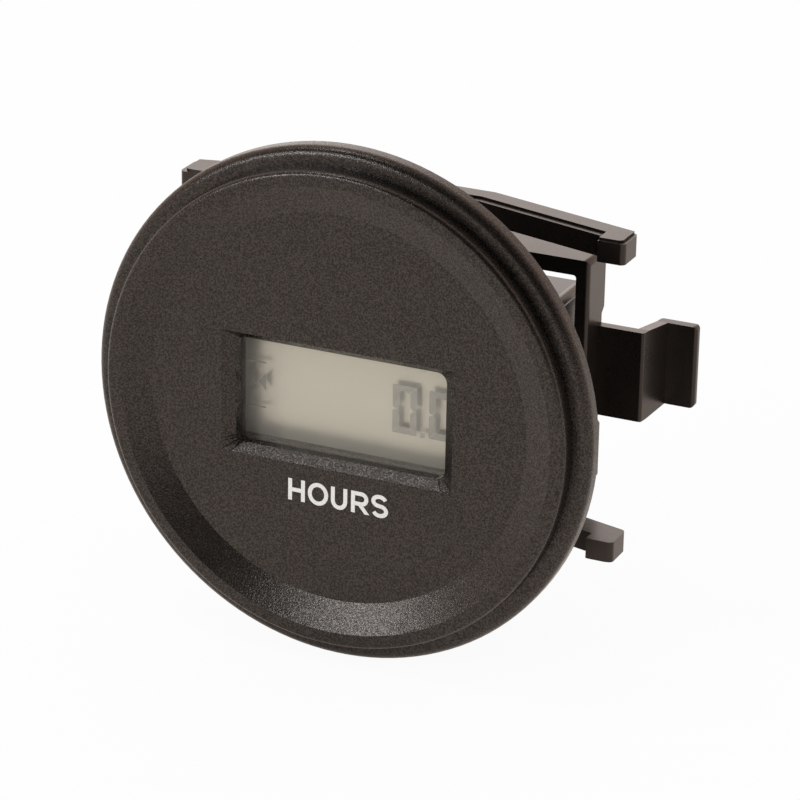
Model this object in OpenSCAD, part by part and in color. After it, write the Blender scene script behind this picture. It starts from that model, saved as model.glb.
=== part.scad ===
// Panel-mounted electronic hour meter with a round bezel and a slide-on clamp.
// The panel's front face lies on the plane Y = 0; the display looks along -Y and the body runs along +Y.

/* [Bezel] */
// Outer diameter of the flange that covers the panel's hole
flange_d = 60.3; // [58:0.1:64]
// Thickness of the flange
flange_t = 2.5; // [2:0.1:3.5]
// Rounding of the flange's front edge
flange_edge_r = 1.1; // [0.5:0.1:1.5]
// Diameter of the raised front disc
disc_d = 55.9; // [54.5:0.1:56.5]
// How far the disc stands in front of the flange
disc_rise = 2.05; // [1.6:0.05:3]
// Rounding of the disc's front edge
disc_edge_r = 0.55; // [0.3:0.05:0.7]
// Width of the flat lip round the disc's edge
lip_w = 1.7; // [1:0.1:2.5]
// Width of the dish's sloping wall
slope_w = 3.35; // [2.5:0.05:4.5]
// Depth of the dish below the lip
dish_depth = 1.5; // [1:0.05:2]
// Thickness of the face wall at the bottom of the dish
face_wall = 2.3; // [2:0.1:3]
// Diameter of the spigot that centres the meter in the panel's hole
spigot_d = 52; // [51:0.1:52.5]
// Length of the spigot behind the panel's front face
spigot_len = 3; // [1.5:0.1:3.5]
// Wall of the spigot
spigot_wall = 1.6; // [1.2:0.1:2]

/* [Window] */
// Width of the display window
window_w = 25.7; // [22:0.1:28]
// Height of the display window
window_h = 12.6; // [10:0.1:13]
// Corner radius of the display window
window_r = 1.2; // [0.6:0.1:2]
// Width of the bevel at the window's two ends
bevel_end = 1.3; // [0.6:0.1:1.8]
// Width of the bevel along the window's top and bottom
bevel_long = 0.9; // [0.5:0.1:1.2]
// Depth of the bevel
bevel_depth = 1.15; // [0.6:0.05:1.5]

/* [Display] */
// Thickness of the clear lens
lens_t = 1.5; // [1:0.1:2]
// Thickness of each polarising film
film_t = 0.2; // [0.15:0.01:0.3]
// Thickness of each sheet of display glass
glass_t = 1.1; // [0.5:0.1:1.2]
// Height of the contact ledge at the top of the front glass
ledge_h = 1.4; // [1.2:0.1:2]
// How far the films stop short of the glass's long edges
film_inset = 0.5; // [0.3:0.1:1]
// How far the films stop short of the glass's two ends
film_end = 2.5; // [2:0.1:3.5]
// Depth of the display holder
holder_t = 3.6; // [3:0.1:5]
// Thickness of the holder's front web
holder_web = 0.8; // [0.6:0.1:1.2]
// Width of the holder's side walls
holder_rim = 1.6; // [1.2:0.1:2]
// Length of the rubber contact strip
strip_w = 27; // [22:0.5:29]

/* [Housing] */
// Width of the housing without its ratchet teeth
housing_w = 36.8; // [36:0.1:40]
// Height of the housing
housing_h = 19; // [18:0.1:21]
// How far the housing's rear face lies behind the panel's front face
housing_end = 23.8; // [22.5:0.1:28]
// Wall of the housing
housing_wall = 1.5; // [1.2:0.1:1.8]
// Corner radius of the housing
housing_r = 1; // [0.5:0.1:1.2]
// Rear wall of the housing
rear_wall = 1.8; // [1.6:0.1:2.5]
// Width of the four posts that hold the circuit board forward
post_w = 1.6; // [1.2:0.1:1.8]
// Play of the pieces inside the housing, on each side
inner_gap = 0.2; // [0.1:0.05:0.3]
// Play of the housing in the bezel's socket, on each side
socket_gap = 0.1; // [0.05:0.05:0.2]
// Wall of the bezel's socket
socket_wall = 1.4; // [1:0.1:1.6]
// Depth of the bezel's socket
socket_depth = 2.5; // [1.5:0.1:3]

/* [Ratchet] */
// Pitch of the ratchet teeth
tooth_pitch = 1.5; // [1:0.1:2]
// Height of the ratchet teeth
tooth_h = 0.6; // [0.4:0.05:0.8]
// Height of each rack, along Z
rack_h = 8; // [5:0.5:10]
// Where the racks begin behind the panel's front face
rack_start = 6; // [5:0.1:8]

/* [Terminals] */
// Width of each blade terminal
blade_w = 6.3; // [4.8:0.1:6.5]
// Thickness of each blade terminal
blade_t = 0.8; // [0.5:0.05:1]
// How far each blade stands out of the housing
blade_reach = 8; // [7:0.1:10]
// Distance of each blade from the end of the circuit board
blade_in = 4.2; // [3.8:0.1:4.4]
// Diameter of the locking hole in each blade
blade_hole_d = 1.7; // [1.2:0.1:2]
// Distance of the locking hole from the blade's tip
blade_hole_in = 3.9; // [3:0.1:4.5]
// Chamfer of the blade's tip
blade_tip = 1.2; // [0.8:0.1:1.5]
// Depth of the sealed recess round the blades
seal_depth = 1; // [0.6:0.1:1.2]
// Margin of the sealed recess round the blades
seal_margin = 1.4; // [1:0.1:2]

/* [Board] */
// Thickness of the circuit board
board_t = 1.6; // [1:0.1:1.6]
// Diameter of the lithium cell
cell_d = 12.5; // [10:0.1:12.5]
// Thickness of the lithium cell
cell_t = 2.5; // [1.6:0.1:3.2]
// Thickness of the cell's welded tabs
tab_t = 0.2; // [0.15:0.05:0.3]
// Width of the cell's welded tabs
tab_w = 3; // [2:0.1:4]
// Side of the counter chip
counter_w = 7; // [6:0.1:7]
// Thickness of the counter chip
counter_t = 1.4; // [1:0.1:1.6]
// Length of the memory chip
memory_w = 4.9; // [4:0.1:5]
// Width of the memory chip
memory_h = 3.9; // [3.5:0.1:4]
// Thickness of the memory chip
memory_t = 1.5; // [1:0.1:1.8]
// Diameter of the crystal's can
crystal_d = 1.5; // [1.2:0.1:1.6]
// Length of the crystal's can
crystal_len = 5; // [4:0.1:5.5]
// Diameter of the filter capacitor
capacitor_d = 5; // [4:0.1:5]
// Height of the filter capacitor
capacitor_len = 6; // [5:0.1:9]
// Width of the surge suppressor and of the rectifier
diode_w = 2.6; // [2:0.1:2.7]
// Length of the surge suppressor and of the rectifier
diode_len = 4.4; // [3.5:0.1:5]
// Height of the surge suppressor and of the rectifier
diode_t = 2.2; // [1.6:0.1:2.6]

/* [Clamp ring] */
// Where the ring's front lies behind the panel's front face
clamp_y = 18.5; // [17.8:0.1:18.8]
// Depth of the ring
ring_depth = 5.4; // [4.5:0.1:6]
// Gap between the ring and the tips of the ratchet teeth
ring_gap_x = 0.4; // [0.3:0.05:0.6]
// Gap between the ring and the housing's top and bottom
ring_gap_z = 2.65; // [2:0.05:3.5]
// Thickness of the ring's side plates
side_t = 1.6; // [1.2:0.1:2]
// Thickness of the ring's top and bottom plates
bridge_t = 1.9; // [1.5:0.1:2.2]
// Corner radius of the ring
ring_r = 0.7; // [0.4:0.1:1]
// Rounding of the upright edges of the ring's side plates
ring_edge_r = 0.5; // [0.3:0.1:0.7]
// Play of the guide ribs over the housing
rib_gap = 0.2; // [0.1:0.05:0.3]
// Thickness of the guide ribs
rib_w = 1.6; // [1:0.1:2]
// Distance of the guide ribs from the middle
rib_x = 9; // [6:0.5:14]
// Gap between the pawls and the tips of the ratchet teeth
pawl_gap = 0.1; // [0.05:0.05:0.2]
// Height of the pawls, along Z
pawl_h = 6; // [4:0.5:8]

/* [Clamp arms] */
// Rise from the ring to the spring arms
arm_rise = 2.55; // [2:0.05:3]
// Height of the spring arms
arm_h = 2.7; // [2:0.1:2.8]
// Thickness of the spring arms, along Y
arm_t = 3; // [2.4:0.1:3.4]
// Half length of the arms' straight middle
arm_flat = 7.3; // [7:0.1:9]
// Angle by which the arms sweep forward
arm_sweep = 15; // [13:0.1:15.2]
// Half length of the arms to their outer ends
arm_reach = 27.4; // [27:0.1:28]
// Width of the lugs that press on the panel
lug_w = 3.2; // [2.8:0.1:3.4]
// How far the lugs stand in front of the arms
lug_step = 1.6; // [0.6:0.1:1.7]
// Rounding of the lugs
lug_r = 0.6; // [0.4:0.1:1.1]
// Width of the ledge round the lugs
lug_ledge = 0.45; // [0.3:0.05:0.6]
// Width of the ledge along the arms' front edge
ledge_w = 0.95; // [0.6:0.05:1.2]
// Drop of the ledges of the arms and lugs
ledge_drop = 0.25; // [0.15:0.05:0.4]
// Half width of the neck between the ring and the arms
neck_x = 6; // [4:0.5:7]

/* [Release tabs] */
// Thickness of the release tabs
tongue_t = 1.2; // [0.9:0.1:1.4]
// Height of the release tabs at their first bend
tongue_h = 10.8; // [8:0.1:11]
// Height of the release tabs at their tips
tongue_tip_h = 9.9; // [8:0.1:10.5]
// How far the first bend stands out from the middle
tongue_x1 = 26.7; // [25.5:0.1:27]
// How far the tip stands out from the middle
tongue_x2 = 31; // [30:0.1:32]
// Length of the tabs' backward run
tongue_run = 5.6; // [4.5:0.1:6.5]
// Outward lean of the backward run
tongue_lean = 0.7; // [0.3:0.1:1]
// Corner radius of the tabs' tips
tongue_r = 0.6; // [0.4:0.1:1.2]
// Rounding of the tabs' bends and of their ends
tongue_edge_r = 0.4; // [0.2:0.05:0.45]
// Diameter of the pip on each tab's front
pip_d = 0.8; // [0.5:0.1:1.2]
// Height of the pip on each tab's front
pip_h = 0.15; // [0.1:0.05:0.3]
// Distance of the pip from the ring's side plate
pip_out = 1.5; // [1:0.1:3]
// Depth of the relief behind the ring's side plates
relief_depth = 1.1; // [0.8:0.1:1.5]
// Height of the relief's straight part above the tab
relief_gap = 1.1; // [1:0.1:1.5]

/* [Hidden] */
$fn = 96;
hull_fn = 32;
eps = 0.01;
cut = 1;

// Planes of the bezel along Y
lip_y = -flange_t - disc_rise;
face_y = lip_y + dish_depth;
back_y = face_y + face_wall;
slope_r2 = disc_d / 2 - lip_w;
slope_r1 = slope_r2 - slope_w;
wall_draft = 0.1;
rear_chamfer = 0.25;

// The space inside the housing, and what fills it
cavity_w = housing_w - 2 * housing_wall;
cavity_h = housing_h - 2 * housing_wall;
cavity_r = 0.3;
inner_w = cavity_w - 2 * inner_gap;
inner_h = cavity_h - 2 * inner_gap;
lens_y = back_y;
front_film_y = lens_y + lens_t;
front_glass_y = front_film_y + film_t;
rear_glass_y = front_glass_y + glass_t;
rear_film_y = rear_glass_y + glass_t;
holder_y = rear_film_y + film_t;
board_y = holder_y + holder_t;
parts_y = board_y + board_t;
film_w = inner_w - 2 * film_end;
rear_glass_h = inner_h - ledge_h;
rear_glass_z = -ledge_h / 2;
strip_z = inner_h / 2 - ledge_h / 2;
strip_h = ledge_h - 2 * inner_gap;
holder_top = inner_h / 2 - ledge_h - holder_rim;

// Parts on the board's rear, placed from its edges and from the two blades
part_gap = 0.4;
cell_gap = 1.35;
blade_x = inner_w / 2 - blade_in;
blade_face = blade_x - blade_t / 2;
cell_x = cell_d / 2 + cell_gap - blade_face;
right_edge = blade_face - part_gap;
lead_len = 0.9;
diode_z = inner_h / 2 - part_gap - (diode_len + lead_len) / 2;
surge_x = right_edge - diode_w / 2;
rectifier_x = surge_x - diode_w - part_gap;
capacitor_base_w = capacitor_d + inner_gap;
capacitor_x = right_edge - capacitor_base_w / 2;
capacitor_z = part_gap + capacitor_base_w / 2 - inner_h / 2;
resistor_w = 2.6;
resistor_h = 1.4;
resistor_t = 0.6;
resistor_z = (diode_z - (diode_len + lead_len) / 2 + capacitor_z + capacitor_base_w / 2) / 2;

// Parts on the board's front, placed side by side in the holder's room
room_h = holder_top + inner_h / 2 - holder_rim;
room_z = holder_top - room_h / 2;
memory_x = -counter_w / 2 - lead_len - part_gap - lead_len - memory_h / 2;
crystal_x = counter_w / 2 + lead_len + part_gap + crystal_d / 2;
ceramic_w = 2;
ceramic_h = 1.25;
ceramic_t = 0.8;
ceramic_x = crystal_x + crystal_d / 2 + part_gap + ceramic_w / 2;
ceramic_pitch = ceramic_h + part_gap;
end_cap = 0.4;
lead_w = 0.35;
lead_t = 0.2;
lead_pitch = 0.8;
lead_count = 7;
memory_leads = 4;
memory_pitch = 1.27;
crystal_lead_d = 0.4;
crystal_lead_len = 1.6;
capacitor_base = 1;
capacitor_groove = 0.2;
diode_cup_w = 1.6;
diode_cup_t = 0.9;

// The racks, and the clamp that slides along them
blade_end = housing_end + blade_reach;
recess_w = 2 * blade_x + blade_t + 2 * seal_margin;
recess_h = blade_w + 2 * seal_margin;
tooth_count = floor((housing_end - rack_start) / tooth_pitch);
ring_in_w = housing_w + 2 * (tooth_h + ring_gap_x);
ring_in_h = housing_h + 2 * ring_gap_z;
ring_out_w = ring_in_w + 2 * side_t;
ring_out_h = ring_in_h + 2 * bridge_t;
arm_z = ring_out_h / 2 + arm_rise;
lug_x = arm_reach - lug_w;
arm_drop = (lug_x - arm_flat) * tan(arm_sweep);
rear_kink_x = arm_flat + arm_t * tan(arm_sweep);
arm_end_drop = (arm_reach - rear_kink_x) * tan(arm_sweep);
lug_y = -arm_drop - lug_step;
pawl_tip = ring_in_w / 2 - ring_gap_x + pawl_gap;
pawl_y = 1.4;
pawl_run = 1.2;
relief_z = tongue_h / 2 + relief_gap;
relief_y = ring_depth - relief_depth;
tongue_y = relief_y - tongue_t;

bezel_color = [0.16, 0.15, 0.14];
clamp_color = [0.10, 0.09, 0.085];
chip_color = [0.12, 0.12, 0.13];
metal_color = [0.75, 0.74, 0.70];

// Points along an arc from angle a0 to a1
function arc(c, r, a0, a1, n = 8) =
    [for (i = [0:n]) c + r * [cos(a0 + (a1 - a0) * i / n), sin(a0 + (a1 - a0) * i / n)]];

// Rectangle with round corners, centred
module round_rect(w, h, r) {
    square([w - 2 * r, h], center = true);
    square([w, h - 2 * r], center = true);
    for (x = [-1, 1], y = [-1, 1]) translate([x * (w / 2 - r), y * (h / 2 - r)]) circle(r);
}

// Extrudes an X-Z outline from y0 to y1
module along_y(y0, y1) {
    translate([0, y1, 0]) rotate([90, 0, 0]) linear_extrude(y1 - y0) children();
}

// Turns what stands along Z so that it runs along +Y
module facing_back() {
    rotate([-90, 0, 0]) children();
}

// A box given by its centre in X and Z, its size in X and Z, and its start and depth in Y
module block(at, w, h, y, depth) {
    translate([at[0] - w / 2, y, at[1] - h / 2]) cube([w, depth, h]);
}

// Both a shape and its mirror image about X = 0
module both_sides() {
    children();
    mirror([1, 0, 0]) children();
}

// Both a shape and its mirror image about Z = 0
module top_and_bottom() {
    children();
    mirror([0, 0, 1]) children();
}

// Section of the bezel: radius and Y, from the middle of the face round to the spigot
module bezel_section() {
    flange_r = flange_d / 2;
    disc_r = disc_d / 2;
    spigot_r = spigot_d / 2;
    edge = arc([disc_r - disc_edge_r, lip_y + disc_edge_r], disc_edge_r, -90, 0);
    rim = arc([flange_r - flange_edge_r, flange_edge_r - flange_t], flange_edge_r, -90, 0);
    polygon(concat(
        [[0, face_y], [slope_r1, face_y], [slope_r2, lip_y]],
        edge,
        [[disc_r + wall_draft, -flange_t]],
        rim,
        [[flange_r, -rear_chamfer], [flange_r - rear_chamfer, 0], [spigot_r, 0], [spigot_r, spigot_len]],
        [[spigot_r - spigot_wall, spigot_len], [spigot_r - spigot_wall, back_y], [0, back_y]]
    ));
}

// The bevel leads from the face down to the window
module window_bevel() {
    hull() {
        along_y(face_y - eps, face_y)
            round_rect(window_w + 2 * bevel_end, window_h + 2 * bevel_long, window_r + bevel_long, $fn = hull_fn);
        along_y(face_y + bevel_depth, face_y + bevel_depth + eps)
            round_rect(window_w, window_h, window_r, $fn = hull_fn);
    }
}

// One textured moulding: dished face with the window, flange, spigot, and a socket for the housing
module bezel() {
    seat_w = housing_w + 2 * socket_gap;
    seat_h = housing_h + 2 * socket_gap;
    color(bezel_color) {
        difference() {
            facing_back() rotate_extrude() bezel_section();
            along_y(face_y - cut, back_y + cut) round_rect(window_w, window_h, window_r);
            window_bevel();
        }
        along_y(back_y - eps, back_y + socket_depth) difference() {
            round_rect(seat_w + 2 * socket_wall, seat_h + 2 * socket_wall, housing_r + socket_wall);
            round_rect(seat_w, seat_h, housing_r);
        }
    }
}

// Clear plate that closes the window from behind
module window_lens() {
    color([0.85, 0.9, 0.9, 0.35])
        along_y(lens_y, lens_y + lens_t) round_rect(inner_w, inner_h, cavity_r);
}

// Front polarising film of the display
module lcd_front_film() {
    color([0.72, 0.74, 0.68, 0.5])
        block([0, 0], film_w, inner_h - 2 * film_inset, front_film_y, film_t);
}

// Front glass, which carries the contact ledge at its top
module lcd_front_glass() {
    color([0.75, 0.85, 0.8, 0.4]) block([0, 0], inner_w, inner_h, front_glass_y, glass_t);
}

// Rear glass, lower than the front one by the contact ledge
module lcd_rear_glass() {
    color([0.75, 0.85, 0.8, 0.4]) block([0, rear_glass_z], inner_w, rear_glass_h, rear_glass_y, glass_t);
}

// Rear polarising film with its reflecting layer
module lcd_reflector() {
    color([0.78, 0.76, 0.68])
        block([0, rear_glass_z], film_w, rear_glass_h - 2 * film_inset, rear_film_y, film_t);
}

// Moulded frame that holds the glass to the lens and keeps the board at its distance
module lcd_holder() {
    color([0.1, 0.1, 0.1]) difference() {
        block([0, 0], inner_w, inner_h, holder_y, holder_t);
        block([0, room_z], inner_w - 2 * holder_rim, room_h, holder_y + holder_web, holder_t);
        block([0, strip_z + cut / 2], strip_w + 2 * inner_gap, ledge_h + cut, holder_y - cut, holder_t + 2 * cut);
    }
}

// Strip of layered conducting rubber between the glass's ledge and the board
module contact_strip() {
    color([0.35, 0.35, 0.36]) block([0, strip_z], strip_w, strip_h, rear_glass_y, board_y - rear_glass_y);
}

// Circuit board behind the display
module circuit_board() {
    color([0.1, 0.35, 0.18]) block([0, 0], inner_w, inner_h, board_y, board_t);
}

// Rows of leads along two opposite sides of a chip, before it is set on the board
module lead_rows(body_w, count, pitch) {
    for (side = [-1, 1], i = [0:count - 1]) {
        across = side * (body_w / 2 + lead_len / 2 - eps);
        block([across, (i - (count - 1) / 2) * pitch], lead_len, lead_w, 0, lead_t);
    }
}

// Chip that counts and drives the display, on the board's front, with leads on four sides
module counter_chip() {
    standoff = lead_t / 2;
    color(chip_color) translate([0, board_y, room_z]) mirror([0, 1, 0]) {
        block([0, 0], counter_w, counter_w, standoff, counter_t);
        lead_rows(counter_w, lead_count, lead_pitch);
        rotate([0, 90, 0]) lead_rows(counter_w, lead_count, lead_pitch);
    }
}

// Chip that keeps the count, on the board's front
module memory_chip() {
    standoff = lead_t / 2;
    color(chip_color) translate([memory_x, board_y, room_z]) mirror([0, 1, 0]) {
        block([0, 0], memory_h, memory_w, standoff, memory_t);
        lead_rows(memory_h, memory_leads, memory_pitch);
    }
}

// Quartz crystal in a small can lying on the board's front, with its two wires
module timing_crystal() {
    wire_gap = crystal_d / 4;
    foot = room_z - (crystal_len + crystal_lead_len) / 2;
    color(metal_color) translate([crystal_x, board_y - crystal_d / 2, foot]) {
        translate([0, 0, crystal_lead_len]) cylinder(d = crystal_d, h = crystal_len);
        for (side = [-1, 1]) translate([side * wire_gap, 0, 0])
            cylinder(d = crystal_lead_d, h = crystal_lead_len + eps);
    }
}

// Lithium coin cell, a stepped can
module lithium_cell() {
    step = cell_t / 5;
    color(metal_color) translate([cell_x, parts_y + tab_t, 0]) facing_back() {
        cylinder(d = cell_d - 4 * step, h = cell_t);
        translate([0, 0, step]) cylinder(d = cell_d, h = cell_t - step);
    }
}

// Tab welded under the cell, flat on the board
module cell_front_tab() {
    color(metal_color) block([cell_x, 0], tab_w, inner_h - 2 * part_gap, parts_y, tab_t);
}

// Tab welded over the cell and bent down to the board
module cell_rear_tab() {
    top_y = parts_y + tab_t + cell_t;
    leg_x = cell_x - cell_d / 2 - inner_gap;
    color(metal_color) {
        translate([leg_x - tab_t, top_y, -tab_w / 2]) cube([cell_x + tab_w / 2 - leg_x + tab_t, tab_t, tab_w]);
        translate([leg_x - tab_t, parts_y, -tab_w / 2]) cube([tab_t, top_y - parts_y + eps, tab_w]);
    }
}

// Moulded diode with its two contact cups, standing along Z
module diode(x) {
    translate([x, parts_y, diode_z]) {
        block([0, 0], diode_w, diode_len, lead_t, diode_t - lead_t);
        for (side = [-1, 1]) block([0, side * diode_len / 2], diode_cup_w, lead_len, 0, diode_cup_t);
    }
}

// Diode that takes up surges from the supply
module surge_suppressor() {
    color(chip_color) diode(surge_x);
}

// Diode that guards against a reversed supply
module rectifier() {
    color(chip_color) diode(rectifier_x);
}

// Can-shaped capacitor on its square base
module filter_capacitor() {
    groove_y = capacitor_base + capacitor_d / 5;
    color([0.72, 0.72, 0.74]) translate([capacitor_x, parts_y, capacitor_z]) {
        block([0, 0], capacitor_base_w, capacitor_base_w, 0, capacitor_base);
        facing_back() difference() {
            cylinder(d = capacitor_d, h = capacitor_len);
            translate([0, 0, groove_y]) rotate_extrude() translate([capacitor_d / 2, 0]) circle(capacitor_groove);
        }
    }
}

// Chip part with metal end caps a little proud of its body
module chip_part(at, w, h, t, y) {
    proud = end_cap / 10;
    block(at, w - 2 * end_cap + eps, h, y, t);
    for (side = [-1, 1]) block([at[0] + side * (w - end_cap) / 2, at[1]], end_cap, h + 2 * proud, y, t + proud);
}

// Resistors that drop the supply voltage
module dropping_resistors() {
    color(chip_color) for (i = [0:1]) {
        x = right_edge - resistor_w / 2 - i * (resistor_w + part_gap);
        chip_part([x, resistor_z], resistor_w, resistor_h, resistor_t, parts_y);
    }
}

// Small ceramic capacitors on the board's front
module chip_capacitors() {
    color([0.6, 0.5, 0.38]) translate([0, 2 * board_y, 0]) mirror([0, 1, 0])
        for (i = [-1:1]) chip_part([ceramic_x, room_z + i * ceramic_pitch], ceramic_w, ceramic_h, ceramic_t, board_y);
}

// Outline of a blade: length along Y, width along Z, with a chamfered tip
module blade_outline() {
    half = blade_w / 2;
    difference() {
        polygon([
            [parts_y, -half], [blade_end - blade_tip, -half], [blade_end, blade_tip - half],
            [blade_end, half - blade_tip], [blade_end - blade_tip, half], [parts_y, half]
        ]);
        translate([blade_end - blade_hole_in, 0]) circle(d = blade_hole_d);
    }
}

// Flat blade that stands on the board and comes out through the rear wall
module blade(x) {
    color([0.78, 0.70, 0.48]) translate([x - blade_t / 2, 0, 0])
        rotate([90, 0, 90]) linear_extrude(blade_t) blade_outline();
}

// Blade for the supply's positive wire
module positive_terminal() {
    blade(blade_x);
}

// Blade for the supply's negative wire
module negative_terminal() {
    blade(-blade_x);
}

// Poured resin that seals the blades in the rear wall
module terminal_seal() {
    color([0.07, 0.07, 0.07]) difference() {
        block([0, 0], recess_w, recess_h, housing_end - seal_depth, seal_depth);
        for (side = [-1, 1]) block([side * blade_x, 0], blade_t, blade_w, parts_y, blade_end);
    }
}

// One sawtooth rack, with its steep faces to the front
module rack() {
    root = housing_w / 2;
    for (i = [0:tooth_count - 1]) {
        y = rack_start + i * tooth_pitch;
        translate([0, 0, -rack_h / 2]) linear_extrude(rack_h)
            polygon([[root - eps, y], [root + tooth_h, y], [root + tooth_h, y + eps], [root - eps, y + tooth_pitch]]);
    }
}

// Closed box behind the bezel: board posts inside, racks on both sides, slots for the blades
module housing() {
    post_x = cavity_w / 2 - post_w / 2;
    post_z = cavity_h / 2 - post_w / 2;
    floor_y = housing_end - rear_wall;
    color([0.13, 0.12, 0.11]) {
        difference() {
            along_y(back_y, housing_end) round_rect(housing_w, housing_h, housing_r);
            along_y(back_y - cut, floor_y) round_rect(cavity_w, cavity_h, cavity_r);
            block([0, 0], recess_w, recess_h, housing_end - seal_depth, seal_depth + cut);
            for (side = [-1, 1])
                block([side * blade_x, 0], blade_t + inner_gap, blade_w + inner_gap, floor_y - cut, rear_wall + 2 * cut);
        }
        for (x = [-1, 1], z = [-1, 1])
            block([x * post_x, z * post_z], post_w + 2 * eps, post_w + 2 * eps, parts_y, floor_y - parts_y + eps);
        both_sides() rack();
    }
}

// Outline of one arm from the middle to its lug, in the ring's own X and Y
module arm_outline() {
    corner_x = arm_reach - lug_r;
    rear_y = arm_t - arm_end_drop - lug_r * (1 - sin(arm_sweep)) / cos(arm_sweep);
    front_corner = arc([corner_x, lug_y + lug_r], lug_r, -90, 0);
    rear_corner = arc([corner_x, rear_y], lug_r, 0, 90 - arm_sweep);
    polygon(concat(
        [[-eps, 0], [arm_flat, 0], [lug_x, -arm_drop], [lug_x, lug_y]],
        front_corner,
        rear_corner,
        [[rear_kink_x, arm_t], [-eps, arm_t]]
    ));
}

// The arm's raised face, which stops short of the lug's edges and of the ledge along the arm
module arm_face() {
    difference() {
        intersection() {
            arm_outline();
            translate([-lug_ledge, lug_ledge]) arm_outline();
        }
        polygon([
            [-eps, -cut], [arm_flat, -cut], [lug_x, -arm_drop - cut], [lug_x, ledge_w - arm_drop],
            [arm_flat, ledge_w], [-eps, ledge_w]
        ]);
    }
}

// Pair of spring arms over the ring, with the neck that carries them
module spring_arms() {
    translate([0, 0, arm_z]) {
        linear_extrude(arm_h - ledge_drop) both_sides() arm_outline();
        linear_extrude(arm_h) both_sides() arm_face();
    }
    translate([-neck_x, 0, ring_out_h / 2 - bridge_t / 2]) cube([2 * neck_x, arm_t, arm_rise + bridge_t / 2 + eps]);
}

// Rectangular ring, relieved behind the middle of its side plates, with guide ribs and pawls
module clamp_ring() {
    rib_h = ring_gap_z - rib_gap;
    relief_slope = relief_depth;
    plate_in = ring_in_w / 2;
    difference() {
        intersection() {
            along_y(0, ring_depth) difference() {
                round_rect(ring_out_w, ring_out_h, ring_r);
                round_rect(ring_in_w, ring_in_h, ring_r / 2);
            }
            translate([0, ring_depth / 2, -ring_out_h / 2]) linear_extrude(ring_out_h)
                round_rect(ring_out_w, ring_depth, ring_edge_r);
        }
        rotate([90, 0, 90]) translate([0, 0, -ring_out_w]) linear_extrude(2 * ring_out_w) polygon([
            [relief_y, -relief_z], [ring_depth + eps, -relief_z - relief_slope],
            [ring_depth + eps, relief_z + relief_slope], [relief_y, relief_z]
        ]);
    }
    top_and_bottom() for (side = [-1, 1])
        block([side * rib_x, ring_in_h / 2 - rib_h / 2 + eps], rib_w, rib_h, 0, ring_depth);
    both_sides() translate([0, 0, -pawl_h / 2]) linear_extrude(pawl_h) polygon([
        [plate_in + eps, pawl_y], [pawl_tip, pawl_y + pawl_run], [plate_in + eps, pawl_y + pawl_run]
    ]);
}

// Stepped finger tab behind one side plate: out, back, and out again
module release_tab() {
    foot = ring_in_w / 2 + side_t / 2;
    back = tongue_y + tongue_run;
    half = tongue_h / 2;
    tip_half = tongue_tip_h / 2;
    rear = back + tongue_t;
    r = tongue_edge_r;
    bend_x = tongue_x1 + tongue_lean;
    intersection() {
        translate([0, 0, -half]) linear_extrude(tongue_h) polygon(concat(
            [[foot, tongue_y]],
            arc([tongue_x1 - r, tongue_y + r], r, -90, 0),
            [[bend_x, back]],
            arc([tongue_x2 - r, back + r], r, -90, 0),
            arc([tongue_x2 - r, rear - r], r, 0, 90),
            arc([bend_x - tongue_t + r, rear - r], r, 90, 180),
            [[tongue_x1 - tongue_t, tongue_y + tongue_t], [foot, tongue_y + tongue_t]]
        ));
        along_y(0, rear + cut) {
            translate([0, -half]) square([bend_x, tongue_h]);
            round_rect(2 * tongue_x2, tongue_tip_h, tongue_r);
        }
        rotate([90, 0, 90]) linear_extrude(tongue_x2 + cut) polygon([
            [0, -half], [tongue_y + tongue_t, -half], [back, -tip_half], [rear + cut, -tip_half],
            [rear + cut, tip_half], [back, tip_half], [tongue_y + tongue_t, half], [0, half]
        ]);
    }
    along_y(tongue_y - pip_h, tongue_y + eps) translate([ring_out_w / 2 + pip_out, 0]) circle(d = pip_d);
}

// One-piece clamp that slides over the housing from behind and presses four lugs on the panel
module mounting_clamp() {
    color(clamp_color) translate([0, clamp_y, 0]) {
        clamp_ring();
        top_and_bottom() spring_arms();
        both_sides() release_tab();
    }
}

bezel();
window_lens();
lcd_front_film();
lcd_front_glass();
lcd_rear_glass();
lcd_reflector();
lcd_holder();
contact_strip();
circuit_board();
counter_chip();
memory_chip();
timing_crystal();
lithium_cell();
cell_front_tab();
cell_rear_tab();
surge_suppressor();
rectifier();
filter_capacitor();
dropping_resistors();
chip_capacitors();
positive_terminal();
negative_terminal();
terminal_seal();
housing();
mounting_clamp();
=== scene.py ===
"""Hour meter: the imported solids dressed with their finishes, the display's figures and the printed word."""

import math

import bmesh
import bpy
from mathutils import Matrix, Vector


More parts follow.
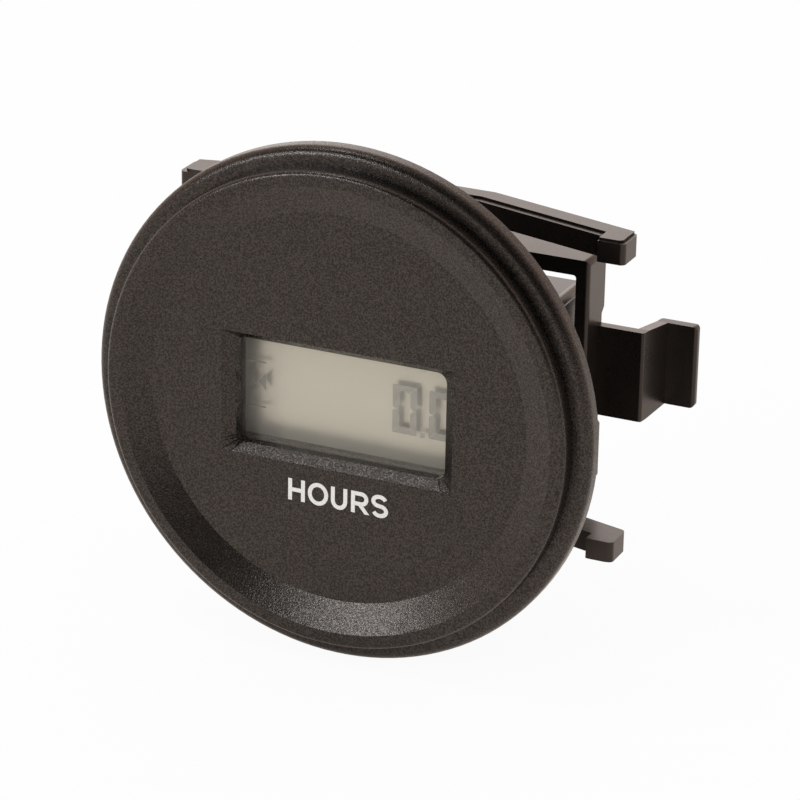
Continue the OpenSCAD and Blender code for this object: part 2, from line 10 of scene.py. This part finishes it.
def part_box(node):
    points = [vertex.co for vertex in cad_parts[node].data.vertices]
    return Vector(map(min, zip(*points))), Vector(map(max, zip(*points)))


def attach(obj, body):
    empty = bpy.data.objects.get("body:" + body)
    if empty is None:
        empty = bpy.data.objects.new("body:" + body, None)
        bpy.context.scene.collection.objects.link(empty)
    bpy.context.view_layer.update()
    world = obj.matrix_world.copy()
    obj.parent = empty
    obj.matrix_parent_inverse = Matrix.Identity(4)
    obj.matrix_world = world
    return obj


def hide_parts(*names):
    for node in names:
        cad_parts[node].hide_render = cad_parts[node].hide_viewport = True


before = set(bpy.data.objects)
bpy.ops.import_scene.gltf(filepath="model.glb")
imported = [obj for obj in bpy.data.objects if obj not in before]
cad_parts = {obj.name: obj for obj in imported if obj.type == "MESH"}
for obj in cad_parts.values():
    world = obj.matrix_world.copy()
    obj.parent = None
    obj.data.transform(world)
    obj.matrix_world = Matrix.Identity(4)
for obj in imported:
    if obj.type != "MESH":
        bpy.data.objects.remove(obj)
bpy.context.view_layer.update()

# Bezel: one injection moulding in black nylon, with a fine spark-eroded texture from its mould.
# Face, dish, lip and flange are one piece; the housing is welded into a socket on its back.
# The bevel round the window runs into sharp corners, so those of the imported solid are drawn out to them.


class Wire:
    """One socket of a finish's node tree; arithmetic on it adds Math nodes."""

    def __init__(self, tree, socket=None):
        self.tree = tree
        self.socket = socket

    def node(self, kind, settings, sockets, out=0):
        made = self.tree.nodes.new(kind)
        for name, value in settings.items():
            setattr(made, name, value)
        for name, value in sockets.items():
            if isinstance(value, Wire):
                self.tree.links.new(value.socket, made.inputs[name])
            else:
                made.inputs[name].default_value = value
        return Wire(self.tree, made.outputs[out] if made.outputs else None)

    def math(self, operation, first, second):
        return self.node("ShaderNodeMath", {"operation": operation}, {0: first, 1: second})

    def __add__(self, other):
        return self.math("ADD", self, other)

    def __sub__(self, other):
        return self.math("SUBTRACT", self, other)

    def __rsub__(self, other):
        return self.math("SUBTRACT", other, self)

    def __mul__(self, other):
        return self.math("MULTIPLY", self, other)

    __radd__ = __add__
    __rmul__ = __mul__


def start_finish(name):
    """A new finish, with the start of its node tree and the object's own coordinates."""
    finish = bpy.data.materials.new(name)
    finish.use_nodes = True
    finish.node_tree.nodes.clear()
    wire = Wire(finish.node_tree)
    return finish, wire, wire.node("ShaderNodeTexCoord", {}, {}, "Object")


def noise(place, size_mm, detail, rough):
    sockets = {"Vector": place, "Scale": 1000.0 / size_mm, "Detail": detail, "Roughness": rough}
    return place.node("ShaderNodeTexNoise", {}, sockets)


def blend(factor, tone_a, tone_b):
    return factor.node("ShaderNodeMix", {"data_type": "RGBA"}, {0: factor, 6: tone_a, 7: tone_b}, 2)


def ramp(value, low, high):
    return value.node("ShaderNodeMapRange", {}, {"Value": value, "From Min": low, "From Max": high})


def bump(height, depth_mm, strength=1.0):
    sockets = {"Height": height, "Distance": depth_mm / 1000, "Strength": strength}
    return height.node("ShaderNodeBump", {}, sockets)


def coat(wire, **sockets):
    names = {name.replace("_", " "): value for name, value in sockets.items()}
    return wire.node("ShaderNodeBsdfPrincipled", {}, names)


def mixed(wire, factor, first, second):
    shader = wire.node("ShaderNodeMixShader", {}, {0: factor, 1: first, 2: second})
    wire.node("ShaderNodeOutputMaterial", {}, {"Surface": shader})


def add_piece(name, shape, *finishes):
    """Turns a bmesh into an object of the scene that wears the finishes, in their order."""
    mesh = bpy.data.meshes.new(name)
    shape.to_mesh(mesh)
    shape.free()
    for finish in finishes:
        mesh.materials.append(finish)
    made = bpy.data.objects.new(name, mesh)
    bpy.context.scene.collection.objects.link(made)
    return made


bezel_black, wire, place = start_finish("spark_eroded_black")
pits = noise(place, 0.20, 3.0, 0.65)
patches = noise(place, 4.0, 3.0, 0.5)
relief = bump(pits, 0.036)
# The warm tint on the gloss is a painted warm reflection of the room.
painted_warm_reflection = (1.0, 0.93, 0.88, 1)
# Lit and shaded copies of the same nylon: the pit floors get a darker base and weaker gloss as painted shade
# inside the pits.
shaded_pit_floors = coat(
    wire,
    Base_Color=blend(patches, (0.0005, 0.0004, 0.00035, 1), (0.003, 0.0025, 0.0021, 1)),
    Roughness=0.26 + patches * 0.08,
    Specular_IOR_Level=0.35,
    Specular_Tint=painted_warm_reflection,
    Normal=relief,
)
lit_ridges = coat(
    wire,
    Base_Color=blend(patches, (0.006, 0.0050, 0.0043, 1), (0.012, 0.0100, 0.0085, 1)),
    Roughness=0.19 + patches * 0.06,
    Specular_IOR_Level=0.78,
    Specular_Tint=painted_warm_reflection,
    Normal=relief,
)
mixed(wire, ramp(pits, 0.40, 0.60), shaded_pit_floors, lit_ridges)
dish_depth, near_window, same_place, sharp_angle = 0.0015, 0.018, 1e-6, math.radians(30)
face_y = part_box("bezel")[0][1] + dish_depth
bezel_shape = bmesh.new()
bezel_shape.from_mesh(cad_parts["bezel"].data)
bmesh.ops.remove_doubles(bezel_shape, verts=bezel_shape.verts[:], dist=same_place)
for edge in bezel_shape.edges:
    edge.smooth = edge.calc_face_angle(0.0) < sharp_angle
in_face = [v for v in bezel_shape.verts if abs(v.co.y - face_y) < same_place]
brim = [v for v in in_face if v.co.xz.length < near_window]
side_x, side_z = max(v.co.x for v in brim), max(v.co.z for v in brim)
for vert in brim:
    short_x, short_z = side_x - abs(vert.co.x), side_z - abs(vert.co.z)
    if short_x < short_z + same_place:
        vert.co.x = math.copysign(side_x, vert.co.x)
    if short_z < short_x + same_place:
        vert.co.z = math.copysign(side_z, vert.co.z)
dished_bezel = add_piece("dished_bezel", bezel_shape, bezel_black)
bezel_data = dished_bezel.data.attributes
if "custom_normal" in bezel_data:
    bezel_data.remove(bezel_data["custom_normal"])
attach(dished_bezel, "meter")
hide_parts("bezel")

# Printed word under the window: the unit that the counter shows, in plain capitals without serifs.
# White ink, pad-printed straight on the textured face, so the texture shows through it faintly.
letter_low, letter_high, pen, ink_depth, ink_sink = -11.70, -9.10, 0.48, 0.04, 0.01


def bow(x, z, across, up, start, end, steps=12):
    """Points along an elliptic arc about x, z, in millimetres across and up."""
    turns = [math.radians(start + (end - start) * i / steps) for i in range(steps + 1)]
    return [(x + across * math.cos(turn), z + up * math.sin(turn)) for turn in turns]


def thicken(shape, faces, move):
    """Draws flat faces out to a solid, by a move in metres."""
    grown = bmesh.ops.extrude_face_region(shape, geom=faces)["geom"]
    moved = [v for v in grown if isinstance(v, bmesh.types.BMVert)]
    bmesh.ops.translate(shape, verts=moved, vec=move)


def plate(shape, corners, y, depth):
    """A flat plate from its corners in millimetres across and up, raised from the plane y to the front."""
    ring = [shape.verts.new((x / 1000, y, z / 1000)) for x, z in corners]
    thicken(shape, [shape.faces.new(ring)], (0, -depth / 1000, 0))


def stroke(shape, path, width, y, depth, closed=False):
    """A flat ribbon along a path in millimetres across and up, raised from the plane y to the front."""
    points = [Vector(point) for point in path]
    steps = [(b - a).normalized() for a, b in zip(points, points[1:] + points[:1])]
    sharpest = 0.3
    sides = []
    for i, point in enumerate(points):
        leads = steps[i - 1] if i or closed else steps[0]
        goes = steps[i] if i < len(points) - 1 or closed else steps[i - 1]
        middle = (leads + goes).normalized()
        out = Vector((-middle.y, middle.x)) * width / 2 / max(middle.dot(goes), sharpest)
        sides.append([shape.verts.new((at.x / 1000, y, at.y / 1000)) for at in (point + out, point - out)])
    pairs = list(zip(sides, sides[1:] + (sides[:1] if closed else [])))
    faces = [shape.faces.new((a[0], b[0], b[1], a[1])) for a, b in pairs]
    thicken(shape, faces, (0, -depth / 1000, 0))


def surface(wire, **sockets):
    wire.node("ShaderNodeOutputMaterial", {}, {"Surface": coat(wire, **sockets)})


half_pen = pen / 2
middle_z, top_z = (letter_low + letter_high) / 2, letter_high - half_pen
h_left, h_right, u_left, u_right, r_stem = -5.47, -3.87, -0.17, 1.36, 2.31
bowl_x, bowl_z = r_stem + half_pen, -10.56
letter_paths = [
    ([(h_left, letter_low), (h_left, letter_high)], False),
    ([(h_right, letter_low), (h_right, letter_high)], False),
    ([(h_left + half_pen, middle_z), (h_right - half_pen, middle_z)], False),
    (bow(-2.01, middle_z, 1.02, 1.12, 0, 348, 29), True),
    ([(u_left, letter_high)] + bow(0.595, -10.67, 0.765, 0.85, 180, 360) + [(u_right, letter_high)], False),
    ([(r_stem, letter_low), (r_stem, letter_high)], False),
    ([(bowl_x, top_z)] + bow(3.35, -9.95, 0.60, 0.61, 90, -90) + [(bowl_x, bowl_z)], False),
    (bow(5.55, -9.79, 0.76, 0.56, 18, 245) + bow(5.61, -10.93, 0.77, 0.58, 65, -160), False),
]
bowl_low, leg_left, leg_foot, leg_width = bowl_z - half_pen, 2.98, 3.74, 0.60
leg = [
    (leg_left, bowl_low),
    (leg_left + leg_width, bowl_low),
    (leg_foot + leg_width, letter_low),
    (leg_foot, letter_low),
]
ink_y = face_y + ink_sink / 1000
word_shape = bmesh.new()
for path, closed in letter_paths:
    stroke(word_shape, path, pen, ink_y, ink_depth, closed)
plate(word_shape, leg, ink_y, ink_depth)
bmesh.ops.recalc_face_normals(word_shape, faces=word_shape.faces)
ink_white, wire, place = start_finish("pad_print_white")
pits = noise(place, 0.34, 3.0, 0.65)
surface(
    wire,
    Base_Color=blend(ramp(pits, 0.35, 0.7), (0.80, 0.78, 0.75, 1), (0.66, 0.64, 0.61, 1)),
    Roughness=0.55 + pits * 0.1,
    Specular_IOR_Level=0.3,
    Normal=bump(pits, 0.03, 0.5),
)
unit_word = add_piece("unit_word", word_shape, ink_white)
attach(unit_word, "meter")

# Window lens: a flat clear acrylic plate, polished on both sides, held behind the bezel's opening.
# It only bends a little light at its faces, and a faint haze of fine scratches dulls its gloss.


def dress(finish, *nodes):
    for name in nodes:
        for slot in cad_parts[name].material_slots:
            slot.material = finish


def edge_gloss(wire, straight, rise):
    """The share of light that glass mirrors: little straight on, and more at a grazing angle."""
    edge_on = wire.node("ShaderNodeLayerWeight", {}, {"Blend": 0.5}, "Facing")
    return straight + edge_on * edge_on * edge_on * rise


clear_lens, wire, place = start_finish("clear_acrylic")
scuff = noise(place, 1.2, 4.0, 0.7)
through = wire.node("ShaderNodeBsdfTransparent", {}, {"Color": (0.995, 0.995, 0.99, 1)})
shine = coat(wire, Base_Color=(0.02, 0.02, 0.02, 1), Roughness=0.03 + scuff * 0.05)
mixed(wire, edge_gloss(wire, 0.02, 0.4), through, shine)
dress(clear_lens, "window_lens")

# Liquid-crystal cell: two sheets of thin glass bonded round the edge, with a polarising film in front.
# The front sheet stands higher than the rear one, and the ledge carries the contacts.
# Its back is open, because the reflector is bonded there with no gap.
film_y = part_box("lcd_front_film")[0][1]
front_low, front_high = (Vector(corner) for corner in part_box("lcd_front_glass"))
rear_low, rear_high = (Vector(corner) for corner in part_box("lcd_rear_glass"))
crystal_y, ground_edge = front_high.y, 0.00008
outline = [
    (film_y, front_low.z),
    (film_y, front_high.z),
    (crystal_y, front_high.z),
    (crystal_y, rear_high.z),
    (rear_high.y, rear_high.z),
    (rear_high.y, rear_low.z),
]
glass_shape = bmesh.new()
end = glass_shape.faces.new([glass_shape.verts.new((front_low.x, y, z)) for y, z in outline])
thicken(glass_shape, [end], (front_high.x - front_low.x, 0, 0))
bmesh.ops.recalc_face_normals(glass_shape, faces=glass_shape.faces)
bmesh.ops.bevel(
    glass_shape,
    geom=glass_shape.edges[:],
    offset=ground_edge,
    segments=2,
    profile=0.5,
    affect="EDGES",
    material=-1,
)
rear_faces = [f for f in glass_shape.faces if f.normal.y > 0.99]
bonded = [f for f in rear_faces if f.calc_center_median().y > rear_high.y - same_place]
bmesh.ops.delete(glass_shape, geom=bonded, context="FACES")
cell_glass, wire, place = start_finish("polarised_glass")
ripple = noise(place, 9.0, 2.0, 0.5)
through = wire.node("ShaderNodeBsdfTransparent", {}, {"Color": (0.995, 0.99, 0.98, 1)})
shine = coat(wire, Base_Color=(0.80, 0.73, 0.65, 1), Roughness=0.30 + ripple * 0.1)
mixed(wire, edge_gloss(wire, 0.22, 0.2), through, shine)
display_cell = add_piece("display_cell", glass_shape, cell_glass)
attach(display_cell, "meter")
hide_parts("lcd_front_film", "lcd_front_glass", "lcd_rear_glass")

# Display figures: the darkened segments of the liquid crystal, two noughts, a point and a small sand-glass.
# They lie in the thin layer between the two sheets of glass.
# Their backs are painted much darker than their fronts as painted shadow, which shows again in the reflector
# behind as the figures' shadow.
digit_half, digit_tall, digit_pitch, first_x, digits_z = 1.475, 2.875, 4.44, 6.095, -0.58
thick, gap, figure_t = 0.80, 0.025, 0.02
inner_x, inner_z = digit_half - thick, digit_tall - thick
bar = [
    (gap - digit_half, digit_tall),
    (digit_half - gap, digit_tall),
    (inner_x - gap, inner_z),
    (gap - inner_x, inner_z),
]
upright = [
    (-digit_half, digit_tall - gap),
    (-inner_x, inner_z - gap),
    (-inner_x, thick * 0.5),
    (thick / 2 - digit_half, gap / 2),
    (-digit_half, thick * 0.3),
]
figure_shape = bmesh.new()
for digit in range(2):
    middle = first_x + digit * digit_pitch
    for up in (1, -1):
        plate(figure_shape, [(middle + x, digits_z + up * z) for x, z in bar], crystal_y, figure_t)
        for across in (1, -1):
            corners = [(middle + across * x, digits_z + up * z) for x, z in upright]
            plate(figure_shape, corners, crystal_y, figure_t)
point_left, point_right, point_low, point_high = 8.05, 8.60, -3.52, -2.98
point = [
    (point_left, point_low),
    (point_right, point_low),
    (point_right, point_high),
    (point_left, point_high),
]
plate(figure_shape, point, crystal_y, figure_t)
glass_x, glass_z, glass_half, glass_tall, glass_pen = -12.1, -0.75, 1.05, 2.7, 0.20
waist_z, wedge_h, waist_half = -0.40, 1.1, 0.12
for side in (-1, 1):
    end_z = glass_z + side * glass_tall
    edge_x = glass_x + side * glass_half
    cap = [(glass_x - glass_half, end_z), (glass_x + glass_half, end_z)]
    stroke(figure_shape, cap, glass_pen, crystal_y, figure_t)
    wedge = [(edge_x, waist_z + wedge_h), (glass_x + side * waist_half, waist_z), (edge_x, waist_z - wedge_h)]
    plate(figure_shape, wedge, crystal_y, figure_t)
bmesh.ops.recalc_face_normals(figure_shape, faces=figure_shape.faces)
# The faces towards the reflector get the painted shadow grey; the sand-glass, left of the middle, has its own
# grey.
painted_shadow_back, sign = 1, 2
for face in figure_shape.faces:
    if face.calc_center_median().x < 0:
        face.material_index = sign
    elif face.normal.y > 0.5:
        face.material_index = painted_shadow_back
figure_greys = []
for name, dark_tone, light_tone in (
    ("liquid_crystal_front", (0.31, 0.30, 0.27, 1), (0.36, 0.35, 0.31, 1)),
    ("liquid_crystal_back_painted_shadow", (0.06, 0.06, 0.056, 1), (0.09, 0.09, 0.083, 1)),
    ("liquid_crystal_sign", (0.20, 0.195, 0.175, 1), (0.24, 0.235, 0.21, 1)),
):
    figure_grey, wire, place = start_finish(name)
    cloud = noise(place, 0.8, 2.0, 0.5)
    surface(
        wire,
        Base_Color=blend(cloud, dark_tone, light_tone),
        Roughness=0.6 + cloud * 0.1,
        Specular_IOR_Level=0.2,
    )
    figure_greys.append(figure_grey)
display_figures = add_piece("display_figures", figure_shape, *figure_greys)
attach(display_figures, "meter")

# Reflector: a satin metallised film bonded to the back of the cell, which gives the display its pale ground.
# It mirrors the room softly, so the window's edges and the figures show in it as blurred darker bands.
# Its embossed skin leans about ten degrees to the upper right, which turns the glare away from the viewer.


def along(vector, way):
    return vector.node("ShaderNodeVectorMath", {"operation": "DOT_PRODUCT"}, {0: vector, 1: way}, "Value")


reflector_film, wire, place = start_finish("reflector_film")
sparkle = noise(place, 0.12, 2.0, 0.6)
drift = noise(place, 14.0, 2.0, 0.5)
lean = along(place, (-0.14, 0, -0.14))
surface(
    wire,
    Base_Color=blend(sparkle * 0.5 + drift * 0.5, (0.64, 0.645, 0.565, 1), (0.69, 0.69, 0.605, 1)),
    Metallic=0.7,
    Roughness=0.26 + sparkle * 0.06,
    Normal=bump(lean, 1000.0),
)
dress(reflector_film, "lcd_reflector")

# Display holder: a frame moulded in black ABS, which presses the glass against the lens.
# Faint flow marks run through the moulding; it stands on the circuit board.
holder_black, wire, place = start_finish("holder_black_plastic")
flow = noise(place, 3.0, 3.0, 0.5)
surface(
    wire,
    Base_Color=blend(flow, (0.024, 0.023, 0.022, 1), (0.036, 0.035, 0.033, 1)),
    Roughness=0.5 + flow * 0.15,
    Normal=bump(flow, 0.01, 0.3),
)
dress(holder_black, "lcd_holder")

# Contact strip: silicone rubber with thin black carbon layers across it, squeezed between glass and board.
# Each layer joins one contact of the glass to one track of the board.


def bands(place, direction, scale, wander):
    sockets = {"Vector": place, "Scale": scale, "Distortion": wander}
    return place.node("ShaderNodeTexWave", {"bands_direction": direction}, sockets)


strip_rubber, wire, place = start_finish("layered_rubber")
layers = bands(place, "X", 800.0, 0.2)
surface(
    wire,
    Base_Color=blend(layers, (0.02, 0.02, 0.02, 1), (0.32, 0.31, 0.29, 1)),
    Roughness=0.6 + layers * 0.2,
)
dress(strip_rubber, "contact_strip")

# Circuit board: glass fibre with green solder mask over the tracks, wedged between holder and housing.
# The weave shows through the mask as a fine regular ripple.
board_green, wire, place = start_finish("solder_mask_green")
weave = bands(place, "X", 420.0, 0.6)
cross = bands(place, "Z", 420.0, 0.6)
ripple = weave * 0.5 + cross * 0.5
surface(
    wire,
    Base_Color=blend(ripple, (0.012, 0.095, 0.035, 1), (0.022, 0.15, 0.055, 1)),
    Roughness=0.32 + ripple * 0.12,
    Normal=bump(ripple, 0.008, 0.3),
)
dress(board_green, "circuit_board")

# Chips, diodes and resistors: black filled epoxy, moulded round the parts' leads and soldered to the board.
# The mould leaves a fine even matt grain.
chip_epoxy, wire, place = start_finish("filled_epoxy")
grain = noise(place, 0.08, 2.0, 0.6)
surface(
    wire,
    Base_Color=blend(grain, (0.014, 0.014, 0.015, 1), (0.032, 0.032, 0.034, 1)),
    Roughness=0.5 + grain * 0.2,
    Normal=bump(grain, 0.01, 0.4),
)
dress(chip_epoxy, "counter_chip", "memory_chip", "surge_suppressor", "rectifier", "dropping_resistors")

# Cell, its two tabs and the crystal's can: drawn or stamped steel strip, nickel-plated.
# Fine drawing lines run over the plating; the tabs are spot-welded to the cell.
nickel_plate, wire, place = start_finish("nickel_plate")
stretch = wire.node("ShaderNodeMapping", {}, {"Vector": place, "Scale": (1.0, 1.0, 14.0)})
lines = noise(stretch, 0.9, 3.0, 0.6)
surface(
    wire,
    Base_Color=blend(lines, (0.50, 0.48, 0.44, 1), (0.66, 0.64, 0.60, 1)),
    Metallic=1.0,
    Roughness=0.22 + lines * 0.22,
)
dress(nickel_plate, "lithium_cell", "cell_front_tab", "cell_rear_tab", "timing_crystal")

# Filter capacitor: a drawn aluminium can, rolled in over a rubber bung, on a moulded base.
# The can keeps the faint rings of its drawing.
can_aluminium, wire, place = start_finish("drawn_can")
rings = bands(place, "Y", 300.0, 0.4)
surface(
    wire,
    Base_Color=blend(rings, (0.55, 0.56, 0.58, 1), (0.66, 0.67, 0.69, 1)),
    Metallic=1.0,
    Roughness=0.28 + rings * 0.1,
)
dress(can_aluminium, "filter_capacitor")

# Chip capacitors: small blocks of fired brown ceramic with tinned ends, soldered to the board's front.
# The fired body is slightly mottled.
fired_ceramic, wire, place = start_finish("fired_ceramic")
mottle = noise(place, 0.3, 3.0, 0.6)
surface(
    wire,
    Base_Color=blend(mottle, (0.28, 0.19, 0.11, 1), (0.40, 0.29, 0.18, 1)),
    Roughness=0.4 + mottle * 0.2,
)
dress(fired_ceramic, "chip_capacitors")

# Blade terminals: stamped brass strip with a thin coat of tin, standing on the board.
# Rolling lines run along the blades and the tin is a little cloudy.
tinned_brass, wire, place = start_finish("tinned_brass")
stretch = wire.node("ShaderNodeMapping", {}, {"Vector": place, "Scale": (1.0, 0.06, 1.0)})
rolled = noise(stretch, 0.25, 4.0, 0.6)
cloud = noise(place, 2.0, 3.0, 0.5)
surface(
    wire,
    Base_Color=blend(ramp(cloud, 0.35, 0.7), (0.60, 0.58, 0.52, 1), (0.62, 0.52, 0.33, 1)),
    Metallic=1.0,
    Roughness=0.24 + rolled * 0.16 + cloud * 0.1,
    Normal=bump(rolled, 0.006, 0.4),
)
dress(tinned_brass, "positive_terminal", "negative_terminal")

# Terminal seal: black epoxy poured into the recess in the housing's rear wall, round the blades.
# It sets with a glossy, slightly wavy skin.
poured_resin, wire, place = start_finish("poured_resin")
waves = noise(place, 4.0, 2.0, 0.4)
surface(
    wire,
    Base_Color=blend(waves, (0.006, 0.006, 0.006, 1), (0.014, 0.013, 0.012, 1)),
    Roughness=0.14 + waves * 0.2,
    Normal=bump(waves, 0.08, 0.5),
)
dress(poured_resin, "terminal_seal")

# Housing: a box moulded in smooth black ABS, with a sawtooth rack on each side for the clamp.
# Its polished mould gives it a glossy skin with faint sink and flow marks.
housing_black, wire, place = start_finish("smooth_black")
flow = noise(place, 6.0, 3.0, 0.5)
fine = noise(place, 0.4, 2.0, 0.5)
surface(
    wire,
    Base_Color=blend(flow, (0.006, 0.0050, 0.0043, 1), (0.011, 0.0090, 0.0077, 1)),
    Roughness=0.16 + flow * 0.08 + fine * 0.06,
    Normal=bump(flow * 0.7 + fine * 0.1, 0.03, 0.4),
)
dress(housing_black, "housing")


def soften(name, width_mm):
    """Rounds a moulding's sharp edges slightly, as its mould does."""
    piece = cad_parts[name]
    weld = piece.modifiers.new("join_triangles", "WELD")
    weld.merge_threshold = same_place
    bevel = piece.modifiers.new("soft_edges", "BEVEL")
    bevel.width = width_mm / 1000
    bevel.segments = 2
    bevel.limit_method = "ANGLE"
    bevel.angle_limit = math.radians(40)
    bevel.use_clamp_overlap = True


soften("housing", 0.12)

# Mounting clamp: one springy moulding in black nylon, pushed on over the housing from behind.
# Its skin is satin, with faint flow marks and a fine grain, and its mould leaves the edges slightly round.
clamp_black, wire, place = start_finish("satin_black")
flow = noise(place, 4.0, 3.0, 0.5)
grain = noise(place, 0.25, 2.0, 0.6)
surface(
    wire,
    Base_Color=blend(flow * 0.6 + grain * 0.4, (0.005, 0.0042, 0.0036, 1), (0.010, 0.0082, 0.0070, 1)),
    Roughness=0.20 + flow * 0.10 + grain * 0.10,
    Specular_IOR_Level=0.52,
    # The warm tint on the gloss is a painted warm reflection of the room.
    Specular_Tint=(1.0, 0.87, 0.79, 1),
    Normal=bump(grain, 0.02, 0.6),
)
dress(clamp_black, "mounting_clamp")
soften("mounting_clamp", 0.30)

# Studio: a pale floor under the flange, a white room, and soft lamps above, at the front left and behind.
# The room and floor look white to the camera and through glass, and light the object at a plain level.
# Gloss mirrors them a little warm, and darker towards the front of the room; close under the object the
# mirrored floor carries a painted shadow.


def ray_kinds(wire):
    kinds = ("Is Camera Ray", "Is Glossy Ray", "Is Transmission Ray")
    return [wire.node("ShaderNodeLightPath", {}, {}, kind) for kind in kinds]


floor_z, floor_half, seen_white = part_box("bezel")[0][2], 3.0, 0.94
floor_shape = bmesh.new()
bmesh.ops.create_grid(floor_shape, x_segments=1, y_segments=1, size=floor_half)
bmesh.ops.translate(floor_shape, verts=floor_shape.verts[:], vec=(0, 0, floor_z))
pale_floor, wire, place = start_finish("pale_floor")
camera_ray, glossy_ray, glass_ray = ray_kinds(wire)
seen = wire.math("MAXIMUM", wire.math("MAXIMUM", camera_ray, glossy_ray), glass_ray)
matt = wire.node("ShaderNodeBsdfDiffuse", {}, {"Color": (0.82, 0.82, 0.82, 1)})
# Painted shadow: the floor as gloss sees it is darker within about two centimetres under the object, in place
# of its contact shadow.
under = (0, 0.002, floor_z)
away = wire.node("ShaderNodeVectorMath", {"operation": "DISTANCE"}, {0: place, 1: under}, "Value")
painted_contact_shadow = blend(ramp(away, 0.006, 0.024), (0.60, 0.52, 0.47, 1), (1.0, 0.87, 0.79, 1))
tone = blend(glossy_ray, (1, 1, 1, 1), painted_contact_shadow)
white = wire.node("ShaderNodeEmission", {}, {"Color": tone, "Strength": 1.0})
mixed(wire, seen * seen_white, matt, white)
pale_floor.cycles.emission_sampling = "NONE"
floor = add_piece("floor", floor_shape, pale_floor)

world = bpy.data.worlds.new("white_room")
bpy.context.scene.world = world
world.use_nodes = True
world.node_tree.nodes.clear()
wire = Wire(world.node_tree)
camera_ray, glossy_ray, glass_ray = ray_kinds(wire)
way = wire.node("ShaderNodeTexCoord", {}, {}, "Generated")
towards = along(way, (0.25, -0.82, 0.50))
mirrored = 1.0 - ramp(towards, 0.0, 0.88) * 0.96
plain_level = 0.75
seen = wire.math("MAXIMUM", camera_ray, glass_ray)
level = seen + (1.0 - seen) * (plain_level + glossy_ray * (mirrored - plain_level))
tone = blend(glossy_ray, (1, 1, 1, 1), (1.0, 0.78, 0.68, 1))
room = wire.node("ShaderNodeBackground", {}, {"Color": tone, "Strength": level})
wire.node("ShaderNodeOutputWorld", {}, {"Surface": room})
world.cycles.sampling_method = "NONE"


def lamp(name, at, size, power):
    """A round soft lamp that shines at the middle of the flange."""
    light = bpy.data.lights.new(name, "AREA")
    light.shape = "DISK"
    light.size = size
    light.energy = power
    made = bpy.data.objects.new(name, light)
    made.location = at
    made.rotation_euler = (-Vector(at)).to_track_quat("-Z", "Y").to_euler()
    bpy.context.scene.collection.objects.link(made)


lamp("lamp_above", (-0.20, -0.09, 0.50), 0.10, 0.35)
lamp("lamp_front", (-0.31, -0.50, 0.21), 0.18, 1.25)
lamp("lamp_behind", (-0.25, 0.52, 0.24), 0.50, 0.6)

# Camera: a long lens a little over forty centimetres away, to the right of the face and above it.
# Its place and turn were fitted to the edges of the flange, the window and the lugs.
camera_data = bpy.data.cameras.new("camera")
camera_data.sensor_width = 36.0
camera_data.lens = 171.0
camera_data.clip_start = 0.01
camera = bpy.data.objects.new("camera", camera_data)
bpy.context.scene.collection.objects.link(camera)
right, up, back = (0.90810, 0.41841, 0.01715), (-0.17149, 0.33422, 0.92676), (0.38203, -0.84453, 0.37525)
camera_place = Matrix.Translation((0.16640, -0.35364, 0.15854))
camera.matrix_world = camera_place @ Matrix((right, up, back)).transposed().to_4x4()
bpy.context.scene.camera = camera
bpy.context.scene.view_settings.view_transform = "Standard"
